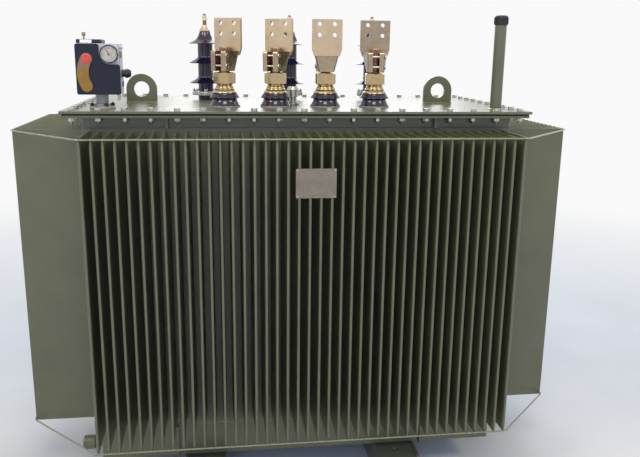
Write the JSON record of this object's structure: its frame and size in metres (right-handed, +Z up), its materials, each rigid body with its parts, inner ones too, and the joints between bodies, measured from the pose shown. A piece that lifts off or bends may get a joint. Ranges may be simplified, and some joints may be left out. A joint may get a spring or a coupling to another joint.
{
  "type": "oil-filled power transformer with corrugated tank",
  "caption": "Hermetic oil-filled power transformer: finned tank on skids, bolted cover with low-voltage flag terminals, high-voltage bushings, protection relay and filling pipe.",
  "frame": {"origin": "on the floor, under the middle of the tank", "axes": "+Z up; -Y is the low-voltage side with the flag terminals; +X to the right of someone facing that side"},
  "size_m": [2.2, 1.276, 1.9199],
  "materials": {
    "body_paint": "gloss olive-grey enamel on steel",
    "gasket_rubber": "matt black",
    "glaze": "high-gloss dark brown-violet glaze",
    "brass": "machined and polished",
    "pale_brass": "satin, as cast and milled",
    "bare_aluminium": "satin",
    "cast_aluminium": "turned casting",
    "black_plastic": "moulded, low sheen",
    "amber_window": "clear window over an amber chamber",
    "light_grey_plastic": "moulded, satin",
    "grey_metal": "grey paint on a casting"
  },
  "bodies": {
    "root": {"cover": "body_paint", "cover_gasket": "gasket_rubber", "drain_valve": "body_paint", "fill_cap": "black_plastic", "fill_pipe": "body_paint", "hv_base_1": "bare_aluminium", "hv_base_2": "bare_aluminium", "hv_base_3": "bare_aluminium", "hv_insulator_1": "glaze", "hv_insulator_2": "glaze", "hv_insulator_3": "glaze", "hv_terminal_1": "brass", "hv_terminal_2": "brass", "hv_terminal_3": "brass", "lifting_lug_left": "body_paint", "lifting_lug_right": "body_paint", "lower_band": "body_paint", "lower_fin_rod": "body_paint", "lv_flag_1": "pale_brass", "lv_flag_2": "pale_brass", "lv_flag_3": "pale_brass", "lv_flag_4": "pale_brass", "lv_insulator_1": "glaze", "lv_insulator_2": "glaze", "lv_insulator_3": "glaze", "lv_insulator_4": "glaze", "lv_stem_1": "brass", "lv_stem_2": "brass", "lv_stem_3": "brass", "lv_stem_4": "brass", "rating_plate": "bare_aluminium", "relay_dial": "black_plastic", "relay_gland": "black_plastic", "relay_housing": "light_grey_plastic", "relay_lid": "black_plastic", "relay_neck": "grey_metal", "relay_panel": "black_plastic", "relay_window": "amber_window", "skid_left": "body_paint", "skid_right": "body_paint", "tank_back_wall": "body_paint", "tank_floor": "body_paint", "tank_front_wall": "body_paint", "tank_left_wall": "body_paint", "tank_right_wall": "body_paint", "tap_changer_head": "cast_aluminium", "top_flange": "body_paint", "upper_band": "body_paint", "upper_fin_rod": "body_paint"}
  },
  "joints": []
}
